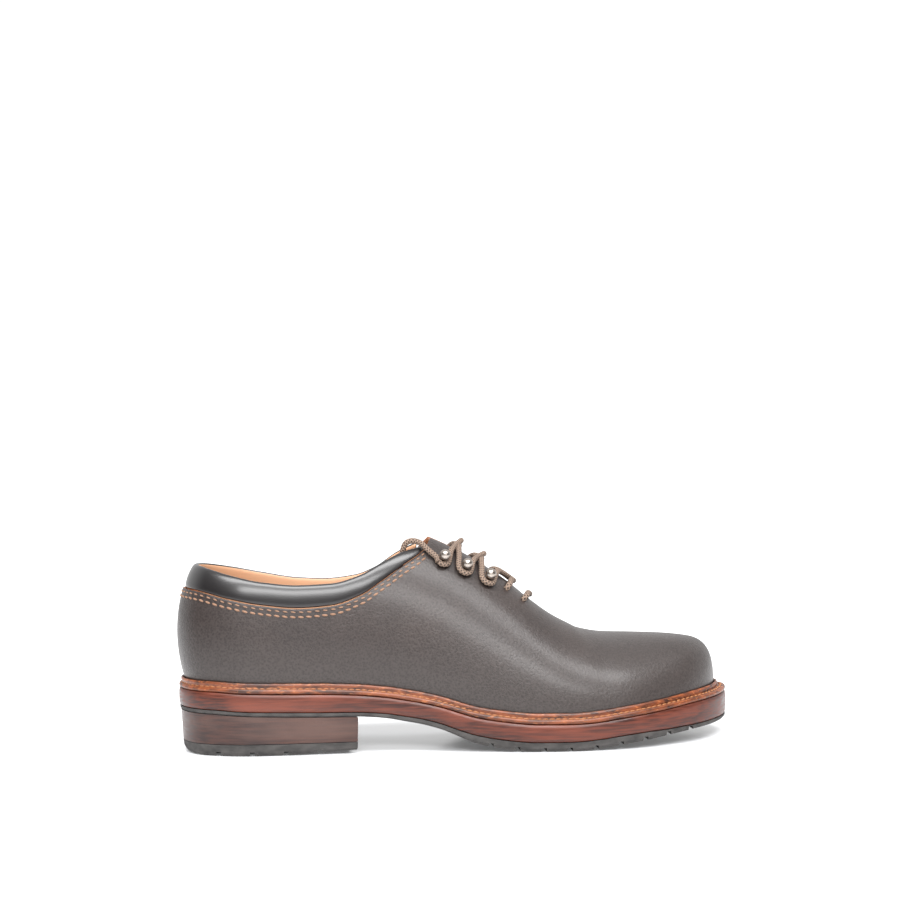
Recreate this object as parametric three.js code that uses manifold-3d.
// Wholecut derby, right shoe, in millimetres.
// X runs from heel to toe, Y from the outer (lateral) side to the inner (medial) side, Z up.
// The floor is Z = 0 and the middle of the sole's length and width is X = 0, Y = 0.

import * as THREE from "three";
import { mergeVertices } from "three/addons/utils/BufferGeometryUtils.js";
import Module from "manifold-3d";

const wasm = await Module();
wasm.setup();

// Driving dimensions
const SOLE_LENGTH = 308;
const BALL_WIDTH = 107;
const SEAT_HEIGHT = 22.9;
const RUBBER_THICKNESS = 4.6;
const MIDSOLE_THICKNESS = 9.2;
const INSOLE_THICKNESS = 2.5;
const HEEL_LENGTH = 96.2;
const TOP_PIECE_THICKNESS = 6;
const HEEL_TAPER = 2;
const BREAST_RADIUS = 110;
const BREAST_HOLLOW = 6;
const WELT_WIDTH = 7;
const WELT_THICKNESS = 2.8;
const WELT_RIDGE_HEIGHT = 5.8;
const WELT_RIDGE_WIDTH = 1.9;
const UPPER_WALL = 2.2;
const INSTEP_HEIGHT = 106.8;
const TOE_HEIGHT = 56;
const COLLAR_HEIGHT = 102.3;
const COLLAR_SET_IN = 0.3;
const COLLAR_INSIDE = 4;
const TONGUE_THICKNESS = 2.8;
const THROAT_HALF_WIDTH = 5.5;
const THROAT_END_HALF_WIDTH = 1.6;
const HOOK_BALL_RADIUS = 3.1;
const HOOK_STEM_RADIUS = 1.3;
const HOOK_WASHER_RADIUS = 1.9;
const HOOK_WASHER_THICKNESS = 0.5;
const HOOK_HEIGHT = 5.6;
const LACE_HOLE_RADIUS = 2.6;
const LACE_RADIUS = 1.6;
const LUG_GROOVE_WIDTH = 2.5;
const LUG_GROOVE_DEPTH = 2;
const LUG_GROOVE_REACH = 24;
const CLEARANCE = 0.3;

// Number of facets around each half of the sole and up each side of the upper
const COLUMNS = 30;
const ROWS = 12;

// A table has named columns and a row for each section.
// Between its rows a value runs along a smooth curve that never overshoots them.
function table(names, rows) {
  const columns = names.split(" ");
  const at = rows.map((row) => row[0]);
  const curves = {};
  for (let c = 1; c < columns.length; c++) {
    curves[columns[c]] = monotoneCurve(at, rows.map((row) => row[c]));
  }
  return { rows, curves };
}

function monotoneCurve(at, values) {
  const last = at.length - 1;
  const slopes = [];
  for (let i = 0; i < last; i++) slopes.push((values[i + 1] - values[i]) / (at[i + 1] - at[i]));
  const tangents = [slopes[0]];
  for (let i = 1; i < last; i++) {
    const turns = slopes[i - 1] * slopes[i] <= 0;
    tangents.push(turns ? 0 : 2 / (1 / slopes[i - 1] + 1 / slopes[i]));
  }
  tangents.push(slopes[last - 1]);
  return (where) => {
    const x = THREE.MathUtils.clamp(where, at[0], at[last]);
    let i = 0;
    while (i < last - 1 && x > at[i + 1]) i++;
    const width = at[i + 1] - at[i];
    const u = (x - at[i]) / width;
    const rise = u * u * (3 - 2 * u);
    const leave = u * (1 - u) * (1 - u) * width * tangents[i];
    const arrive = u * u * (u - 1) * width * tangents[i + 1];
    return values[i] + rise * (values[i + 1] - values[i]) + leave + arrive;
  };
}

// Sole outline seen from above: station as a share of SOLE_LENGTH from the back of the heel,
// and how far it reaches to each side as a share of BALL_WIDTH.
const OUTLINE = table("station lateral medial", [
  [0, 0, 0],
  [0.01, 0.128, 0.128],
  [0.035, 0.226, 0.226],
  [0.1, 0.316, 0.314],
  [0.17, 0.34, 0.336],
  [0.26, 0.345, 0.33],
  [0.36, 0.352, 0.296],
  [0.44, 0.375, 0.272],
  [0.52, 0.42, 0.3],
  [0.6, 0.47, 0.385],
  [0.67, 0.498, 0.462],
  [0.735, 0.5, 0.5],
  [0.8, 0.475, 0.497],
  [0.87, 0.395, 0.452],
  [0.935, 0.275, 0.36],
  [0.98, 0.115, 0.225],
  [1, -0.07, 0.07],
]);

// Sole from the side: how high its underside lies as a share of SEAT_HEIGHT, and how thick
// the rubber and the leather midsole are as shares of their full thickness.
const SOLE = table("station lift rubber midsole", [
  [0, 1, 0.42, 1.02],
  [0.06, 0.985, 0.425, 1.02],
  [0.11, 0.945, 0.43, 1.025],
  [0.18, 0.91, 0.44, 1.035],
  [0.25, 0.882, 0.45, 1.04],
  [0.309, 0.865, 0.46, 0.98],
  [0.36, 0.812, 0.48, 0.93],
  [0.39, 0.74, 0.52, 0.925],
  [0.426, 0.645, 0.56, 0.92],
  [0.46, 0.51, 0.6, 0.96],
  [0.487, 0.355, 0.7, 1],
  [0.517, 0.19, 0.9, 1.02],
  [0.55, 0.095, 0.97, 1.03],
  [0.585, 0.03, 1, 1.035],
  [0.62, 0, 1, 1.02],
  [0.68, 0, 1, 1],
  [0.72, 0.03, 1, 0.985],
  [0.764, 0.093, 1, 0.99],
  [0.81, 0.166, 0.9, 1.03],
  [0.86, 0.24, 0.65, 1.15],
  [0.912, 0.305, 0.48, 1.28],
  [1, 0.37, 0.42, 1.35],
]);

// Width of the welt that shows beside the upper, as a share of WELT_WIDTH.
const WELT = table("along width", [
  [0, 0.66],
  [0.12, 0.6],
  [0.25, 0.58],
  [0.45, 0.62],
  [0.7, 0.72],
  [0.88, 0.9],
  [1, 0.96],
]);

// Top line of the last, from the back of the heel over the instep to the toe: its height as a
// share of the way from TOE_HEIGHT to INSTEP_HEIGHT, and its shift to the medial side as a
// share of BALL_WIDTH. Behind the throat it is the open cone that the collar cuts away.
const RIDGE = table("station height shift", [
  [0.09, 1.34, 0],
  [0.14, 1.4, 0],
  [0.2, 1.44, 0.005],
  [0.28, 1.42, 0.015],
  [0.38, 1.29, 0.03],
  [0.448, 1.15, 0.04],
  [0.49, 1.03, 0.042],
  [0.526, 0.91, 0.042],
  [0.562, 0.765, 0.042],
  [0.597, 0.61, 0.042],
  [0.634, 0.42, 0.044],
  [0.672, 0.25, 0.048],
  [0.7, 0.155, 0.052],
  [0.725, 0.08, 0.056],
  [0.77, 0.026, 0.06],
  [0.82, 0.01, 0.064],
  [0.87, -0.01, 0.068],
  [0.9, -0.03, 0.07],
]);

// Each column of the last rises from the feather line to the top line as one curve with two
// handles. along runs round the sole from heel (0) to toe (1). ridge is the station where the
// column meets the top line. lean and shoulder place the handles as shares of the way inward,
// lateral and medial, and low and high place them as shares of the way up.
const LAST = table("along ridge lean_lateral lean_medial low shoulder_lateral shoulder_medial high", [
  [0, 0.09, -0.42, -0.42, 0.31, -0.32, -0.32, 0.73],
  [0.1, 0.13, -0.3, -0.3, 0.33, -0.14, -0.14, 0.78],
  [0.2, 0.2, -0.2, -0.2, 0.35, 0, 0, 0.84],
  [0.3, 0.285, -0.2, -0.28, 0.36, 0.05, -0.02, 0.9],
  [0.4, 0.39, -0.18, -0.42, 0.36, 0.16, -0.08, 0.97],
  [0.5, 0.505, -0.14, -0.48, 0.38, 0.32, 0.02, 1],
  [0.6, 0.615, -0.08, -0.26, 0.46, 0.42, 0.28, 1],
  [0.7, 0.715, -0.05, -0.09, 0.56, 0.44, 0.41, 1],
  [0.8, 0.8, -0.05, -0.04, 0.62, 0.36, 0.38, 1],
  [0.9, 0.868, -0.05, -0.04, 0.7, 0.18, 0.24, 1],
  [1, 0.9, -0.03, -0.03, 0.74, 0.1, 0.1, 1],
]);

// Top edge of the padded collar and the seam under it on each side, as shares of COLLAR_HEIGHT.
const TOPLINE = table("station rim_lateral seam_lateral rim_medial seam_medial", [
  [0, 1.01, 0.87, 1.01, 0.87],
  [0.03, 1, 0.862, 1.003, 0.862],
  [0.09, 0.95, 0.817, 0.97, 0.825],
  [0.15, 0.908, 0.781, 0.93, 0.79],
  [0.215, 0.888, 0.762, 0.893, 0.765],
  [0.27, 0.893, 0.772, 0.883, 0.762],
  [0.322, 0.934, 0.822, 0.9, 0.785],
  [0.36, 0.994, 0.893, 0.945, 0.84],
  [0.4, 1.05, 0.972, 1.03, 0.94],
  [0.438, 1.078, 1.045, 1.09, 1.05],
  [0.46, 1.11, 1.14, 1.12, 1.14],
  [0.49, 1.15, 1.3, 1.15, 1.3],
]);

// Section of the collar: height as a share of the band, and depth from its inner to its outer face.
const COLLAR_SECTION = [
  [0, 0.78],
  [0.3, 1],
  [0.65, 1],
  [0.9, 0.86],
  [1, 0.62],
  [1, 0.38],
  [0.9, 0.14],
  [0.65, 0],
  [0.3, 0],
  [0, 0.2],
];

// Sizes that follow from those above
const HALF_LENGTH = SOLE_LENGTH / 2;
const stationOf = (x) => (x + HALF_LENGTH) / SOLE_LENGTH;
const xAt = (station) => station * SOLE_LENGTH - HALF_LENGTH;
const undersideAt = (x) => SOLE.curves.lift(stationOf(x)) * SEAT_HEIGHT;
const rubberTopAt = (x) => undersideAt(x) + SOLE.curves.rubber(stationOf(x)) * RUBBER_THICKNESS;
const midsoleBottomAt = (x) => rubberTopAt(x) + CLEARANCE;
const midsoleTopAt = (x) => midsoleBottomAt(x) + SOLE.curves.midsole(stationOf(x)) * MIDSOLE_THICKNESS;
const ridgeAt = (station) => new THREE.Vector3(
  xAt(station),
  RIDGE.curves.shift(station) * BALL_WIDTH,
  TOE_HEIGHT + RIDGE.curves.height(station) * (INSTEP_HEIGHT - TOE_HEIGHT),
);
const rimAt = (side, x) => TOPLINE.curves[`rim_${side}`](stationOf(x)) * COLLAR_HEIGHT;
const seamAt = (side, x) => TOPLINE.curves[`seam_${side}`](stationOf(x)) * COLLAR_HEIGHT;

// Each side of the outline as a chain of close points with their distance from the heel
const outlineCurve = new THREE.CatmullRomCurve3([
  ...OUTLINE.rows.map(([station, lateral]) => new THREE.Vector3(xAt(station), -lateral * BALL_WIDTH, 0)),
  ...OUTLINE.rows.slice(1, -1).reverse().map(
    ([station, , medial]) => new THREE.Vector3(xAt(station), medial * BALL_WIDTH, 0),
  ),
], true, "centripetal");
const toeShare = (OUTLINE.rows.length - 1) / (2 * OUTLINE.rows.length - 2);
const CHAIN_STEPS = 300;

function outlineChain(from, to) {
  const points = [];
  const lengths = [0];
  for (let i = 0; i <= CHAIN_STEPS; i++) {
    points.push(outlineCurve.getPoint(THREE.MathUtils.lerp(from, to, i / CHAIN_STEPS)));
    if (i > 0) lengths.push(lengths[i - 1] + points[i].distanceTo(points[i - 1]));
  }
  return { points, lengths };
}

const chains = { lateral: outlineChain(0, toeShare), medial: outlineChain(1, toeShare) };

function outlineAt(side, along) {
  const { points, lengths } = chains[side];
  const distance = along * lengths[CHAIN_STEPS];
  let i = 1;
  while (i < CHAIN_STEPS && lengths[i] < distance) i++;
  const share = (distance - lengths[i - 1]) / (lengths[i] - lengths[i - 1]);
  return points[i - 1].clone().lerp(points[i], share);
}

// Point of the outline moved inward in plan by inset
function edgeAt(side, along, inset) {
  const step = 0.004;
  const before = outlineAt(side, Math.max(0, along - step));
  const after = outlineAt(side, Math.min(1, along + step));
  const run = after.sub(before);
  if (along === 0 || along === 1) run.x = 0;
  const outward = side === "lateral" ? [run.y, -run.x] : [-run.y, run.x];
  const normal = new THREE.Vector3(outward[0], outward[1], 0).normalize();
  return outlineAt(side, along).addScaledVector(normal, -inset);
}

// The last: one column's curve from the feather line to the ridge
const weltInsetAt = (along) => WELT.curves.width(along) * WELT_WIDTH;

function lastColumn(side, along) {
  const feather = edgeAt(side, along, weltInsetAt(along));
  feather.z = midsoleTopAt(feather.x) + CLEARANCE;
  const ridge = ridgeAt(LAST.curves.ridge(along));
  const handle = (inward, up) => new THREE.Vector3(
    THREE.MathUtils.lerp(feather.x, ridge.x, inward),
    THREE.MathUtils.lerp(feather.y, ridge.y, inward),
    THREE.MathUtils.lerp(feather.z, ridge.z, up),
  );
  const lower = handle(LAST.curves[`lean_${side}`](along), LAST.curves.low(along));
  const upper = handle(LAST.curves[`shoulder_${side}`](along), LAST.curves.high(along));
  return new THREE.CubicBezierCurve3(feather, lower, upper, ridge);
}

const lastPoint = (side, along, up) => lastColumn(side, along).getPoint(up);

function sideNormal(side, along, up) {
  const step = 0.01;
  const low = Math.min(up, 1 - 2 * step);
  const from = Math.max(0, along - step);
  const to = Math.min(1, along + step);
  const run = lastPoint(side, to, low).sub(lastPoint(side, from, low));
  const climb = lastPoint(side, along, low + step).sub(lastPoint(side, along, low));
  const normal = side === "lateral" ? run.cross(climb) : climb.cross(run);
  return normal.normalize();
}

function lastNormal(side, along, up) {
  if (up < 1 && along > 0 && along < 1) return sideNormal(side, along, up);
  return sideNormal("lateral", along, up).add(sideNormal("medial", along, up)).normalize();
}

// Point of the last's surface moved outward by offset
function formPoint(side, along, up, offset) {
  return lastPoint(side, along, up).addScaledVector(lastNormal(side, along, up), offset);
}

// Share up a column at which test turns from false to true
function findShare(test, from = 0, to = 1) {
  let low = from;
  let high = to;
  for (let i = 0; i < 30; i++) {
    const middle = (low + high) / 2;
    if (test(middle)) high = middle;
    else low = middle;
  }
  return high;
}

// Solids from loops and sections of points
function solidFrom(triangles) {
  const positions = new Float32Array(triangles.flat().flatMap((p) => [p.x, p.y, p.z]));
  const geometry = new THREE.BufferGeometry();
  geometry.setAttribute("position", new THREE.BufferAttribute(positions, 3));
  return solidOf(geometry);
}

function solidOf(source) {
  const plain = source.clone();
  plain.deleteAttribute("normal");
  plain.deleteAttribute("uv");
  const geometry = mergeVertices(plain, 0.0005);
  const vertices = geometry.attributes.position.array;
  const corners = [];
  let volume = 0;
  for (let i = 0; i < geometry.index.count; i += 3) {
    const [a, b, c] = [0, 1, 2].map((k) => geometry.index.getX(i + k));
    if (a === b || b === c || c === a) continue;
    corners.push([a, b, c]);
    const [p, q, r] = [a, b, c].map((k) => new THREE.Vector3().fromArray(vertices, 3 * k));
    volume += p.dot(q.cross(r));
  }
  const ordered = corners.flatMap(([a, b, c]) => (volume > 0 ? [a, b, c] : [a, c, b]));
  return new wasm.Manifold(new wasm.Mesh({
    numProp: 3,
    vertProperties: Float32Array.from(vertices),
    triVerts: Uint32Array.from(ordered),
  }));
}

function quad(a, b, c, d) {
  return [[a, b, c], [a, c, d]];
}

// Rings of points that follow each other, each joined to the next all the way round.
// closed joins the last ring to the first. Otherwise both ends are capped by strips across the
// ring, the last only if it isn't already folded shut. paired rings run out along one face and
// back along the other, and the rest start and turn at a single point.
function loft(rings, { closed = false, openTop = false, paired = false } = {}) {
  const triangles = [];
  const count = rings[0].length;
  const steps = closed ? rings.length : rings.length - 1;
  for (let j = 0; j < steps; j++) {
    const ring = rings[j];
    const next = rings[(j + 1) % rings.length];
    for (let i = 0; i < count; i++) {
      const k = (i + 1) % count;
      triangles.push(...quad(ring[i], ring[k], next[k], next[i]));
    }
  }
  const cap = paired ? pairedCap : turnedCap;
  if (!closed) {
    triangles.push(...cap(rings[0]).map(([a, b, c]) => [a, c, b]));
    if (!openTop) triangles.push(...cap(rings[rings.length - 1]));
  }
  return solidFrom(triangles);
}

function pairedCap(ring) {
  const triangles = [];
  const last = ring.length - 1;
  for (let i = 0; i < ring.length / 2 - 1; i++) {
    triangles.push(...quad(ring[i], ring[i + 1], ring[last - 1 - i], ring[last - i]));
  }
  return triangles;
}

function turnedCap(ring) {
  const count = ring.length;
  const triangles = [[ring[0], ring[1], ring[count - 1]]];
  for (let i = 1; i < count / 2 - 1; i++) {
    triangles.push(...quad(ring[i], ring[i + 1], ring[count - 1 - i], ring[count - i]));
  }
  if (count % 2 === 0) triangles.push([ring[count / 2 - 1], ring[count / 2], ring[count / 2 + 1]]);
  return triangles;
}

// Places round the sole, close together at heel and toe: lateral heel to toe, medial back to heel
const spread = (share) => share - 0.06 * Math.sin(2 * Math.PI * share);

function places(end = 1) {
  const shares = [];
  for (let i = 0; i <= COLUMNS; i++) {
    const along = spread(i / COLUMNS);
    if (along < end) shares.push(along);
  }
  shares.push(end);
  const lateral = shares.filter((along) => along < 1).map((along) => ["lateral", along]);
  const medial = shares.slice(1).reverse().map((along) => ["medial", along]);
  return [...lateral, ...medial];
}

const ringOf = (make, end) => places(end).map(([side, along]) => make(side, along));

// A layer of the sole from its underside to its top, with its edge worn round
function layer(bottomAt, topAt, edge, end) {
  const rings = edge.map(([up, inset]) => ringOf((side, along) => {
    const point = edgeAt(side, along, inset);
    point.z = THREE.MathUtils.lerp(bottomAt(point.x), topAt(point.x), up);
    return point;
  }, end));
  return loft(rings);
}

// Block on three sizes, for cutting grooves
function block(length, width, height, x, y, z) {
  const geometry = new THREE.BoxGeometry(length, width, height);
  geometry.translate(x, y, z);
  return solidOf(geometry);
}

// Grooves from both edges of the sole inward, square to its length
function grooves(first, pitch, count, width, depth, reach, bottomAt) {
  const cutters = [];
  for (let i = 0; i < count; i++) {
    const x = first + i * pitch;
    for (const side of ["lateral", "medial"]) {
      const along = findShare((share) => outlineAt(side, share).x > x);
      const y = outlineAt(side, along).y;
      cutters.push(block(width, 2 * reach, 2 * depth, x, y, bottomAt(x)));
    }
  }
  return cutters;
}

const subtractAll = (solid, cutters) => cutters.reduce((left, cutter) => left.subtract(cutter), solid);

// Sole
const FIRST_LUG_X = 12.7;
const LUG_PITCH = 13.9;
const LUG_COUNT = 9;
const FIRST_HEEL_GROOVE_X = -132.3;
const HEEL_GROOVE_PITCH = 18;
const HEEL_GROOVE_COUNT = 4;
const HEEL_GROOVE_REACH = 9;

// Edges of the layers: share of the height and distance in from the outline
const OUTSOLE_EDGE = [[0, 1.2], [0.35, 0.5], [1, 0.5]];
const MIDSOLE_EDGE = [[0, 0.7], [0.3, 0], [0.75, 0], [1, 0.5]];
const STACK_EDGE = [[0, HEEL_TAPER], [1, 1]];
const TOP_PIECE_EDGE = [[0, HEEL_TAPER + 1], [0.3, HEEL_TAPER + 0.3], [1, HEEL_TAPER]];

// How high the top piece clears the floor: rounded up behind and worn up to the front
const HEEL_WEAR = table("station clear", [
  [0, 3.4],
  [0.008, 1.8],
  [0.028, 0.5],
  [0.055, 0],
  [0.17, 0],
  [0.245, 1],
  [0.31, 1.9],
]);

function makeOutsole() {
  const sheet = layer(undersideAt, rubberTopAt, OUTSOLE_EDGE);
  const lugs = grooves(
    FIRST_LUG_X, LUG_PITCH, LUG_COUNT, LUG_GROOVE_WIDTH, LUG_GROOVE_DEPTH, LUG_GROOVE_REACH, undersideAt,
  );
  return subtractAll(sheet, lugs);
}

const makeMidsole = () => layer(midsoleBottomAt, midsoleTopAt, MIDSOLE_EDGE);

const insoleBottomAt = (x) => midsoleTopAt(x) + CLEARANCE;
const insoleTopAt = (x) => insoleBottomAt(x) + INSOLE_THICKNESS;

function makeInsole() {
  const rings = [insoleBottomAt, insoleTopAt].map((heightAt) => ringOf((side, along) => {
    const point = edgeAt(side, along, weltInsetAt(along) + UPPER_WALL + 2 * CLEARANCE);
    point.z = heightAt(point.x);
    return point;
  }));
  return loft(rings);
}

// Heel block, its front face hollowed by a large cylinder
const HEEL_OVERRUN = 12;
const breastX = xAt(0) + HEEL_LENGTH;
const heelEnd = findShare((share) => outlineAt("lateral", share).x > breastX + HEEL_OVERRUN);

function heelLayer(bottomAt, topAt, edge) {
  const cylinder = new THREE.CylinderGeometry(BREAST_RADIUS, BREAST_RADIUS, 4 * SEAT_HEIGHT, 96);
  cylinder.rotateX(Math.PI / 2);
  cylinder.translate(breastX - BREAST_HOLLOW + BREAST_RADIUS, 0, 0);
  return layer(bottomAt, topAt, edge, heelEnd).subtract(solidOf(cylinder));
}

const makeHeelStack = () => heelLayer(
  () => TOP_PIECE_THICKNESS + CLEARANCE, (x) => undersideAt(x) - CLEARANCE, STACK_EDGE,
);

function makeTopPiece() {
  const wearAt = (x) => HEEL_WEAR.curves.clear(stationOf(x));
  const piece = heelLayer(wearAt, () => TOP_PIECE_THICKNESS, TOP_PIECE_EDGE);
  const cuts = grooves(
    FIRST_HEEL_GROOVE_X, HEEL_GROOVE_PITCH, HEEL_GROOVE_COUNT, LUG_GROOVE_WIDTH, LUG_GROOVE_DEPTH,
    HEEL_GROOVE_REACH + HEEL_TAPER, () => 0,
  );
  return subtractAll(piece, cuts);
}

// Welt: a strip all the way round with a ridge that stands up against the upper
const WELT_EDGE_BEVEL = 0.6;
const WELT_EDGE_INSET = 0.2;
const WELT_RIDGE_ROUND = 0.4;
const WELT_GAP = 1.4 * CLEARANCE;

function makeWelt() {
  const outer = (inset, height) => ringOf((side, along) => {
    const point = edgeAt(side, along, inset);
    point.z = midsoleTopAt(point.x) + height;
    return point;
  });
  const upTheWall = (height, gap) => ringOf((side, along) => {
    const foot = lastPoint(side, along, 0);
    const wanted = foot.z - CLEARANCE + height;
    const up = findShare((share) => lastPoint(side, along, share).z > wanted);
    const point = lastPoint(side, along, up);
    const outward = edgeAt(side, along, 0).sub(edgeAt(side, along, 1));
    point.addScaledVector(outward.normalize(), gap);
    point.z = wanted;
    return point;
  });
  return loft([
    outer(WELT_EDGE_BEVEL, CLEARANCE),
    outer(WELT_EDGE_INSET, WELT_THICKNESS / 2),
    outer(WELT_EDGE_BEVEL, WELT_THICKNESS),
    upTheWall(WELT_THICKNESS, WELT_RIDGE_WIDTH),
    upTheWall(WELT_RIDGE_HEIGHT - WELT_RIDGE_ROUND, WELT_RIDGE_WIDTH - WELT_RIDGE_ROUND),
    upTheWall(WELT_RIDGE_HEIGHT, WELT_RIDGE_WIDTH / 2),
    upTheWall(WELT_RIDGE_HEIGHT - WELT_RIDGE_ROUND, WELT_GAP),
    upTheWall(CLEARANCE, WELT_GAP),
  ], { closed: true });
}

// Upper: the last's form with its wall, open underneath, at the collar and down the throat
function lastForm(offset, drop) {
  const rings = [];
  if (drop > 0) {
    rings.push(ringOf((side, along) => formPoint(side, along, 0, offset).setComponent(
      2, lastPoint(side, along, 0).z - drop,
    )));
  }
  for (let j = 0; j <= ROWS; j++) {
    rings.push(ringOf((side, along) => {
      const point = formPoint(side, along, j / ROWS, offset);
      if (j === 0) point.z = lastPoint(side, along, 0).z;
      return point;
    }));
  }
  return loft(rings, { openTop: true });
}

// Everything above the collar seam on one side, as a block that starts at the shoe's middle
const SEAM_BLOCK_STEP = 4;
const SEAM_BLOCK_END = xAt(0.49);
const PAST_HEEL = 10;

function blockAboveSeam(side) {
  const shape = new THREE.Shape();
  const top = 2 * INSTEP_HEIGHT;
  shape.moveTo(-HALF_LENGTH - PAST_HEEL, top);
  for (let x = -HALF_LENGTH - PAST_HEEL; x < SEAM_BLOCK_END; x += SEAM_BLOCK_STEP) {
    shape.lineTo(x, seamAt(side, x));
  }
  shape.lineTo(SEAM_BLOCK_END, seamAt(side, SEAM_BLOCK_END));
  shape.lineTo(SEAM_BLOCK_END, top);
  const geometry = new THREE.ExtrudeGeometry(shape, { depth: BALL_WIDTH, bevelEnabled: false });
  geometry.rotateX(Math.PI / 2);
  if (side === "medial") geometry.translate(0, BALL_WIDTH, 0);
  return solidOf(geometry);
}

// Gap between the two facings, wider towards the top
const THROAT_END = 0.645;
const THROAT_TOP = 0.42;
const throatEnd = ridgeAt(THROAT_END);
const throatTop = ridgeAt(THROAT_TOP);
const THROAT_SHIFT = -1.5;

function throatSlot() {
  const shape = new THREE.Shape();
  const centreTop = throatTop.y + THROAT_SHIFT;
  shape.moveTo(throatTop.x, centreTop - THROAT_HALF_WIDTH);
  shape.lineTo(throatEnd.x, throatEnd.y - THROAT_END_HALF_WIDTH);
  shape.absarc(throatEnd.x, throatEnd.y, THROAT_END_HALF_WIDTH, -Math.PI / 2, Math.PI / 2, false);
  shape.lineTo(throatTop.x, centreTop + THROAT_HALF_WIDTH);
  const geometry = new THREE.ExtrudeGeometry(shape, {
    depth: 2 * INSTEP_HEIGHT, bevelEnabled: false, curveSegments: 6,
  });
  geometry.translate(0, 0, TOE_HEIGHT / 2);
  return solidOf(geometry);
}

// Place on a facing: its station, and how far it lies from the throat's middle line
function facingPlace(side, station, distance) {
  const x = xAt(station);
  const middle = ridgeAt(station).y + THROAT_SHIFT;
  const upFor = (along) => findShare(
    (share) => Math.abs(lastPoint(side, along, share).y - middle) < distance, 0.3,
  );
  const along = findShare((share) => lastPoint(side, share, upFor(share)).x > x, 0.2, 0.8);
  const up = upFor(along);
  const point = lastPoint(side, along, up);
  const normal = lastNormal(side, along, up);
  const away = new THREE.Vector3(0, side === "lateral" ? -1 : 1, 0);
  away.addScaledVector(normal, -away.dot(normal)).normalize();
  const back = new THREE.Vector3().crossVectors(normal, away);
  if (back.x > 0) back.negate();
  return { point, normal, away, back };
}

// Point beside a place, by distances away from the throat, towards the heel and off the surface
function beside({ point, normal, away, back }, outward, backward, lift) {
  return point.clone().addScaledVector(away, outward).addScaledVector(back, backward)
    .addScaledVector(normal, lift);
}

// Turns a shape made along Z so that it stands on a place of the upper
function standOn(geometry, { point, normal }, lift) {
  const turn = new THREE.Quaternion().setFromUnitVectors(new THREE.Vector3(0, 0, 1), normal);
  geometry.applyQuaternion(turn);
  geometry.translate(...point.clone().addScaledVector(normal, lift).toArray());
  return geometry;
}

const SIDES = ["lateral", "medial"];
const HOOK_DISTANCE = 21.5;
const HOLE_DISTANCE = 18.3;
const HOOK_STATIONS = [0.469, 0.508, 0.548];
const HOLE_STATIONS = { lateral: [0.586, 0.616], medial: [0.602, 0.632] };
const LINING_DROP = 5;

function makeUpper() {
  const outer = lastForm(0, 0);
  const inner = lastForm(-UPPER_WALL, LINING_DROP);
  let upper = subtractAll(outer, [inner, ...SIDES.map(blockAboveSeam), throatSlot()]);
  for (const side of SIDES) {
    for (const station of HOLE_STATIONS[side]) {
      const punch = new THREE.CylinderGeometry(LACE_HOLE_RADIUS, LACE_HOLE_RADIUS, 4 * UPPER_WALL, 12);
      punch.rotateX(Math.PI / 2);
      upper = upper.subtract(solidOf(standOn(punch, facingPlace(side, station, HOLE_DISTANCE), 0)));
    }
  }
  return upper;
}

// Collar: a padded band swept round the opening on top of the seam
const COLLAR_END = 0.437;
const COLLAR_STEPS = 24;

function collarSection(side, along) {
  const shareAt = (heightAt) => findShare((share) => {
    const point = lastPoint(side, along, share);
    return point.z > heightAt(side, point.x);
  });
  const seam = shareAt(seamAt);
  const rim = shareAt(rimAt);
  return COLLAR_SECTION.map(([height, depth]) => {
    const offset = THREE.MathUtils.lerp(-COLLAR_INSIDE, -COLLAR_SET_IN, depth);
    const point = formPoint(side, along, THREE.MathUtils.lerp(seam, rim, height), offset);
    point.z = Math.max(point.z, seamAt(side, point.x) + 2 * CLEARANCE);
    return point;
  });
}

function makeCollar() {
  const sections = [];
  for (let i = COLLAR_STEPS; i > 0; i--) {
    sections.push(collarSection("lateral", (i / COLLAR_STEPS) * COLLAR_END));
  }
  for (let i = 0; i <= COLLAR_STEPS; i++) {
    sections.push(collarSection("medial", (i / COLLAR_STEPS) * COLLAR_END));
  }
  return loft(sections, { paired: true });
}

// Tongue: a strip under the facings that follows the last
const TONGUE_FROM = 0.46;
const TONGUE_TO = 0.66;
const TONGUE_SPANS = 4;

function makeTongue() {
  const outside = -UPPER_WALL - CLEARANCE;
  const sections = [];
  for (const [side, along] of places()) {
    if (side === "medial" || along < TONGUE_FROM || along > TONGUE_TO) continue;
    const across = (offset) => {
      const line = [];
      for (let j = ROWS - TONGUE_SPANS; j <= ROWS; j++) {
        line.push(formPoint("lateral", along, j / ROWS, offset));
      }
      for (let j = ROWS - 1; j >= ROWS - TONGUE_SPANS; j--) {
        line.push(formPoint("medial", along, j / ROWS, offset));
      }
      return line;
    };
    sections.push([...across(outside), ...across(outside - TONGUE_THICKNESS).reverse()]);
  }
  return loft(sections, { paired: true });
}

// Lacing hook: a washer, a stem and a ball in one turned piece
const HOOK_LIFT = 1.5 * CLEARANCE;
const BALL_STEPS = 5;
const ballStart = -Math.acos(HOOK_STEM_RADIUS / HOOK_BALL_RADIUS);

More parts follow.
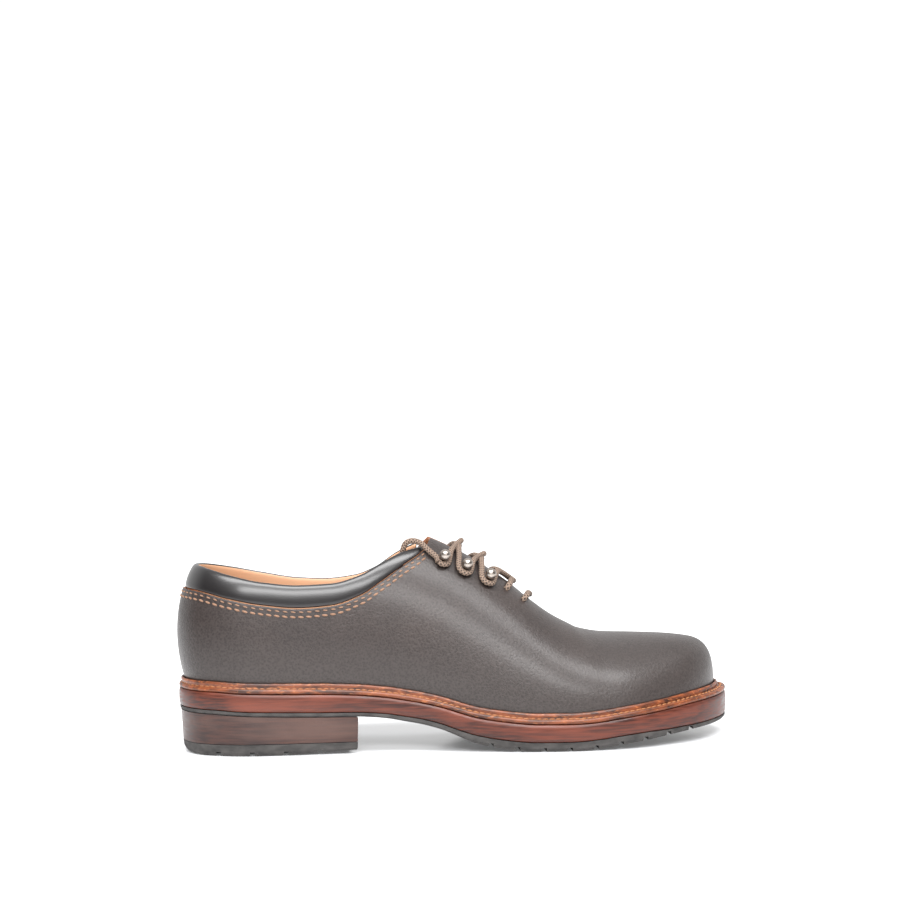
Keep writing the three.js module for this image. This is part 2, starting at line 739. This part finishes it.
function makeHook(side, station) {
  const profile = [
    [0, 0],
    [HOOK_WASHER_RADIUS, 0],
    [HOOK_WASHER_RADIUS, HOOK_WASHER_THICKNESS],
    [HOOK_STEM_RADIUS, HOOK_WASHER_THICKNESS],
  ].map(([radius, height]) => new THREE.Vector2(radius, height));
  for (let i = 0; i <= BALL_STEPS; i++) {
    const angle = THREE.MathUtils.lerp(ballStart, Math.PI / 2, i / BALL_STEPS);
    const radius = i === BALL_STEPS ? 0 : HOOK_BALL_RADIUS * Math.cos(angle);
    profile.push(new THREE.Vector2(radius, HOOK_HEIGHT + HOOK_BALL_RADIUS * Math.sin(angle)));
  }
  const geometry = new THREE.LatheGeometry(profile, 12);
  geometry.rotateX(Math.PI / 2);
  return solidOf(standOn(geometry, facingPlace(side, station, HOOK_DISTANCE), HOOK_LIFT));
}

// Lace: bars across the punched holes and crossings between the hooks, in one piece
const WRAP_RADIUS = 3.4;
const WRAP_LIFT = 2.1;
const WRAP_TURNS = [-60, 0, 60];
const LAST_WRAP_TURNS = [-60, 0, 30];
const LACE_LIFT = LACE_RADIUS + 3 * CLEARANCE;
const CROSSING_LIFTS = [LACE_LIFT, LACE_LIFT + 1.8 * LACE_RADIUS];
const CROSSING_BACK = 0.004;

// How the lace comes to a hook and leaves it: stations ahead of it, and share of the way from the throat
const APPROACH = [[0.026, 0.35], [0.016, 0.7]];
const DEPARTURE = [[-0.009, 0.75], [-0.007, 0.38]];

const HOLE_DEPTH = 1;
const HOLE_RISE = 1.2;
const BAR_BEND = 2.2;
const CORD_SIDES = 8;
const BAR_STEPS = 16;
const STRAND_STEPS = 48;
const TAIL_STEPS = 22;

function cord(points, radius, steps) {
  const section = new THREE.Shape();
  for (let i = 0; i < CORD_SIDES; i++) {
    const angle = (2 * Math.PI * i) / CORD_SIDES;
    const corner = [radius * Math.cos(angle), radius * Math.sin(angle)];
    if (i === 0) section.moveTo(...corner);
    else section.lineTo(...corner);
  }
  const extrudePath = new THREE.CatmullRomCurve3(points, false, "centripetal");
  return solidOf(new THREE.ExtrudeGeometry(section, { steps, bevelEnabled: false, extrudePath }));
}

function overThroat(station, lift) {
  const middle = ridgeAt(station);
  const ahead = ridgeAt(station + 0.01);
  const slope = Math.atan2(middle.z - ahead.z, ahead.x - middle.x);
  return new THREE.Vector3(
    middle.x + lift * Math.sin(slope), middle.y + THROAT_SHIFT, middle.z + lift * Math.cos(slope),
  );
}

// Bar over one pair of holes, up from each hole and across the throat
function bar(row) {
  const middle = HOLE_STATIONS.medial[row];
  const half = (side) => {
    const hole = HOLE_STATIONS[side][row];
    const place = (share, distance, lift) => beside(
      facingPlace(side, THREE.MathUtils.lerp(hole, middle, share), distance), 0, 0, lift,
    );
    return [
      place(0, HOLE_DISTANCE, -HOLE_DEPTH),
      place(0, HOLE_DISTANCE, HOLE_RISE),
      place(1 / 6, HOLE_DISTANCE - BAR_BEND, LACE_LIFT),
      place(1 / 2, HOLE_DISTANCE / 2, LACE_LIFT),
    ];
  };
  const path = [...half("lateral"), overThroat(middle, LACE_LIFT), ...half("medial").reverse()];
  return cord(path, LACE_RADIUS, BAR_STEPS);
}

const otherSide = (side) => (side === "lateral" ? "medial" : "lateral");

// One strand, from the middle of the upper bar back to the top hook on one side
function strandPoints(topSide, lifts) {
  const points = [overThroat(HOLE_STATIONS.medial[0], LACE_LIFT)];
  for (let i = 2; i >= 0; i--) {
    const side = i === 1 ? otherSide(topSide) : topSide;
    const hook = facingPlace(side, HOOK_STATIONS[i], HOOK_DISTANCE);
    const place = ([ahead, share]) => beside(
      facingPlace(side, HOOK_STATIONS[i] + ahead, share * HOOK_DISTANCE), 0, 0, LACE_LIFT,
    );
    points.push(...APPROACH.map(place));
    for (const turn of i > 0 ? WRAP_TURNS : LAST_WRAP_TURNS) {
      const angle = THREE.MathUtils.degToRad(turn);
      points.push(beside(hook, WRAP_RADIUS * Math.cos(angle), WRAP_RADIUS * Math.sin(angle), WRAP_LIFT));
    }
    if (i === 0) continue;
    points.push(...DEPARTURE.map(place), overThroat(HOOK_STATIONS[i] - CROSSING_BACK, lifts[i - 1]));
  }
  return points;
}

const [LOW, HIGH] = CROSSING_LIFTS;
const lateralStrand = strandPoints("lateral", [HIGH, LOW]);
const medialStrand = strandPoints("medial", [LOW, HIGH]);

function makeLace() {
  return bar(0).add(cord(lateralStrand, LACE_RADIUS, STRAND_STEPS))
    .add(cord(medialStrand, LACE_RADIUS, STRAND_STEPS));
}

// Free end on the lateral side, back from the top hook, over the collar and down inside: station,
// reach to the medial side as a share of BALL_WIDTH and height as a share of INSTEP_HEIGHT
const LACE_TAIL = [
  [0.4604, -0.189, 0.962],
  [0.4461, -0.169, 1.001],
  [0.4312, -0.143, 1.04],
  [0.4172, -0.1355, 1.05],
  [0.4068, -0.128, 1.0375],
  [0.402, -0.1234, 1.0056],
  [0.3994, -0.1215, 0.972],
  [0.397, -0.1235, 0.9345],
  [0.3945, -0.129, 0.897],
  [0.392, -0.1345, 0.8595],
  [0.39, -0.141, 0.822],
  [0.3877, -0.1475, 0.7845],
  [0.3857, -0.154, 0.749],
];
const TAIL_GAP = 5 * CLEARANCE;
const LACE_TIP_LENGTH = 14;
const LACE_TIP_RADIUS = 1.5;

// Point beyond the last of some points, by a distance
function beyond(points, distance) {
  const [before, end] = points.slice(-2);
  return end.clone().addScaledVector(end.clone().sub(before).normalize(), distance);
}

const tailPoints = [
  beyond(lateralStrand, TAIL_GAP),
  ...LACE_TAIL.map(([station, reach, height]) => new THREE.Vector3(
    xAt(station), reach * BALL_WIDTH, height * INSTEP_HEIGHT,
  )),
];
const makeTail = () => cord(tailPoints, LACE_RADIUS, TAIL_STEPS);

function makeTip() {
  const ends = [beyond(tailPoints, CLEARANCE), beyond(tailPoints, CLEARANCE + LACE_TIP_LENGTH)];
  return cord(ends, LACE_TIP_RADIUS, 1);
}

// Materials and nodes
const finish = (color, roughness, metalness = 0) => (
  new THREE.MeshStandardMaterial({ color, roughness, metalness })
);

function node(name, solid, material) {
  const { vertProperties, triVerts } = solid.getMesh();
  const geometry = new THREE.BufferGeometry();
  geometry.setAttribute("position", new THREE.BufferAttribute(vertProperties, 3));
  geometry.setIndex(new THREE.BufferAttribute(triVerts, 1));
  geometry.computeVertexNormals();
  const mesh = new THREE.Mesh(geometry, material);
  mesh.name = name;
  return mesh;
}

const shoe = new THREE.Group();
shoe.add(
  node("outsole", makeOutsole(), finish(0x2b2623, 0.8)),
  node("midsole", makeMidsole(), finish(0x6a3524, 0.4)),
  node("heel_stack", makeHeelStack(), finish(0x57301f, 0.4)),
  node("heel_top_piece", makeTopPiece(), finish(0x2b2623, 0.8)),
  node("welt", makeWelt(), finish(0x8a5430, 0.45)),
  node("insole", makeInsole(), finish(0xb98a63, 0.7)),
  node("upper", makeUpper(), finish(0x3a2a26, 0.45)),
  node("collar", makeCollar(), finish(0x1d1918, 0.35)),
  node("tongue", makeTongue(), finish(0x3a2a26, 0.5)),
);
shoe.add(
  node("lace", makeLace(), finish(0x6e5a4c, 0.8)),
  node("lace_bar", bar(1), finish(0x6e5a4c, 0.8)),
  node("lace_tail", makeTail(), finish(0x6e5a4c, 0.8)),
  node("lace_tip", makeTip(), finish(0x4b3a30, 0.3)),
);
for (const side of SIDES) {
  HOOK_STATIONS.forEach((station, i) => {
    shoe.add(node(`hook_${side}_${i + 1}`, makeHook(side, station), finish(0x4a4644, 0.25, 1)));
  });
}

export default shoe;
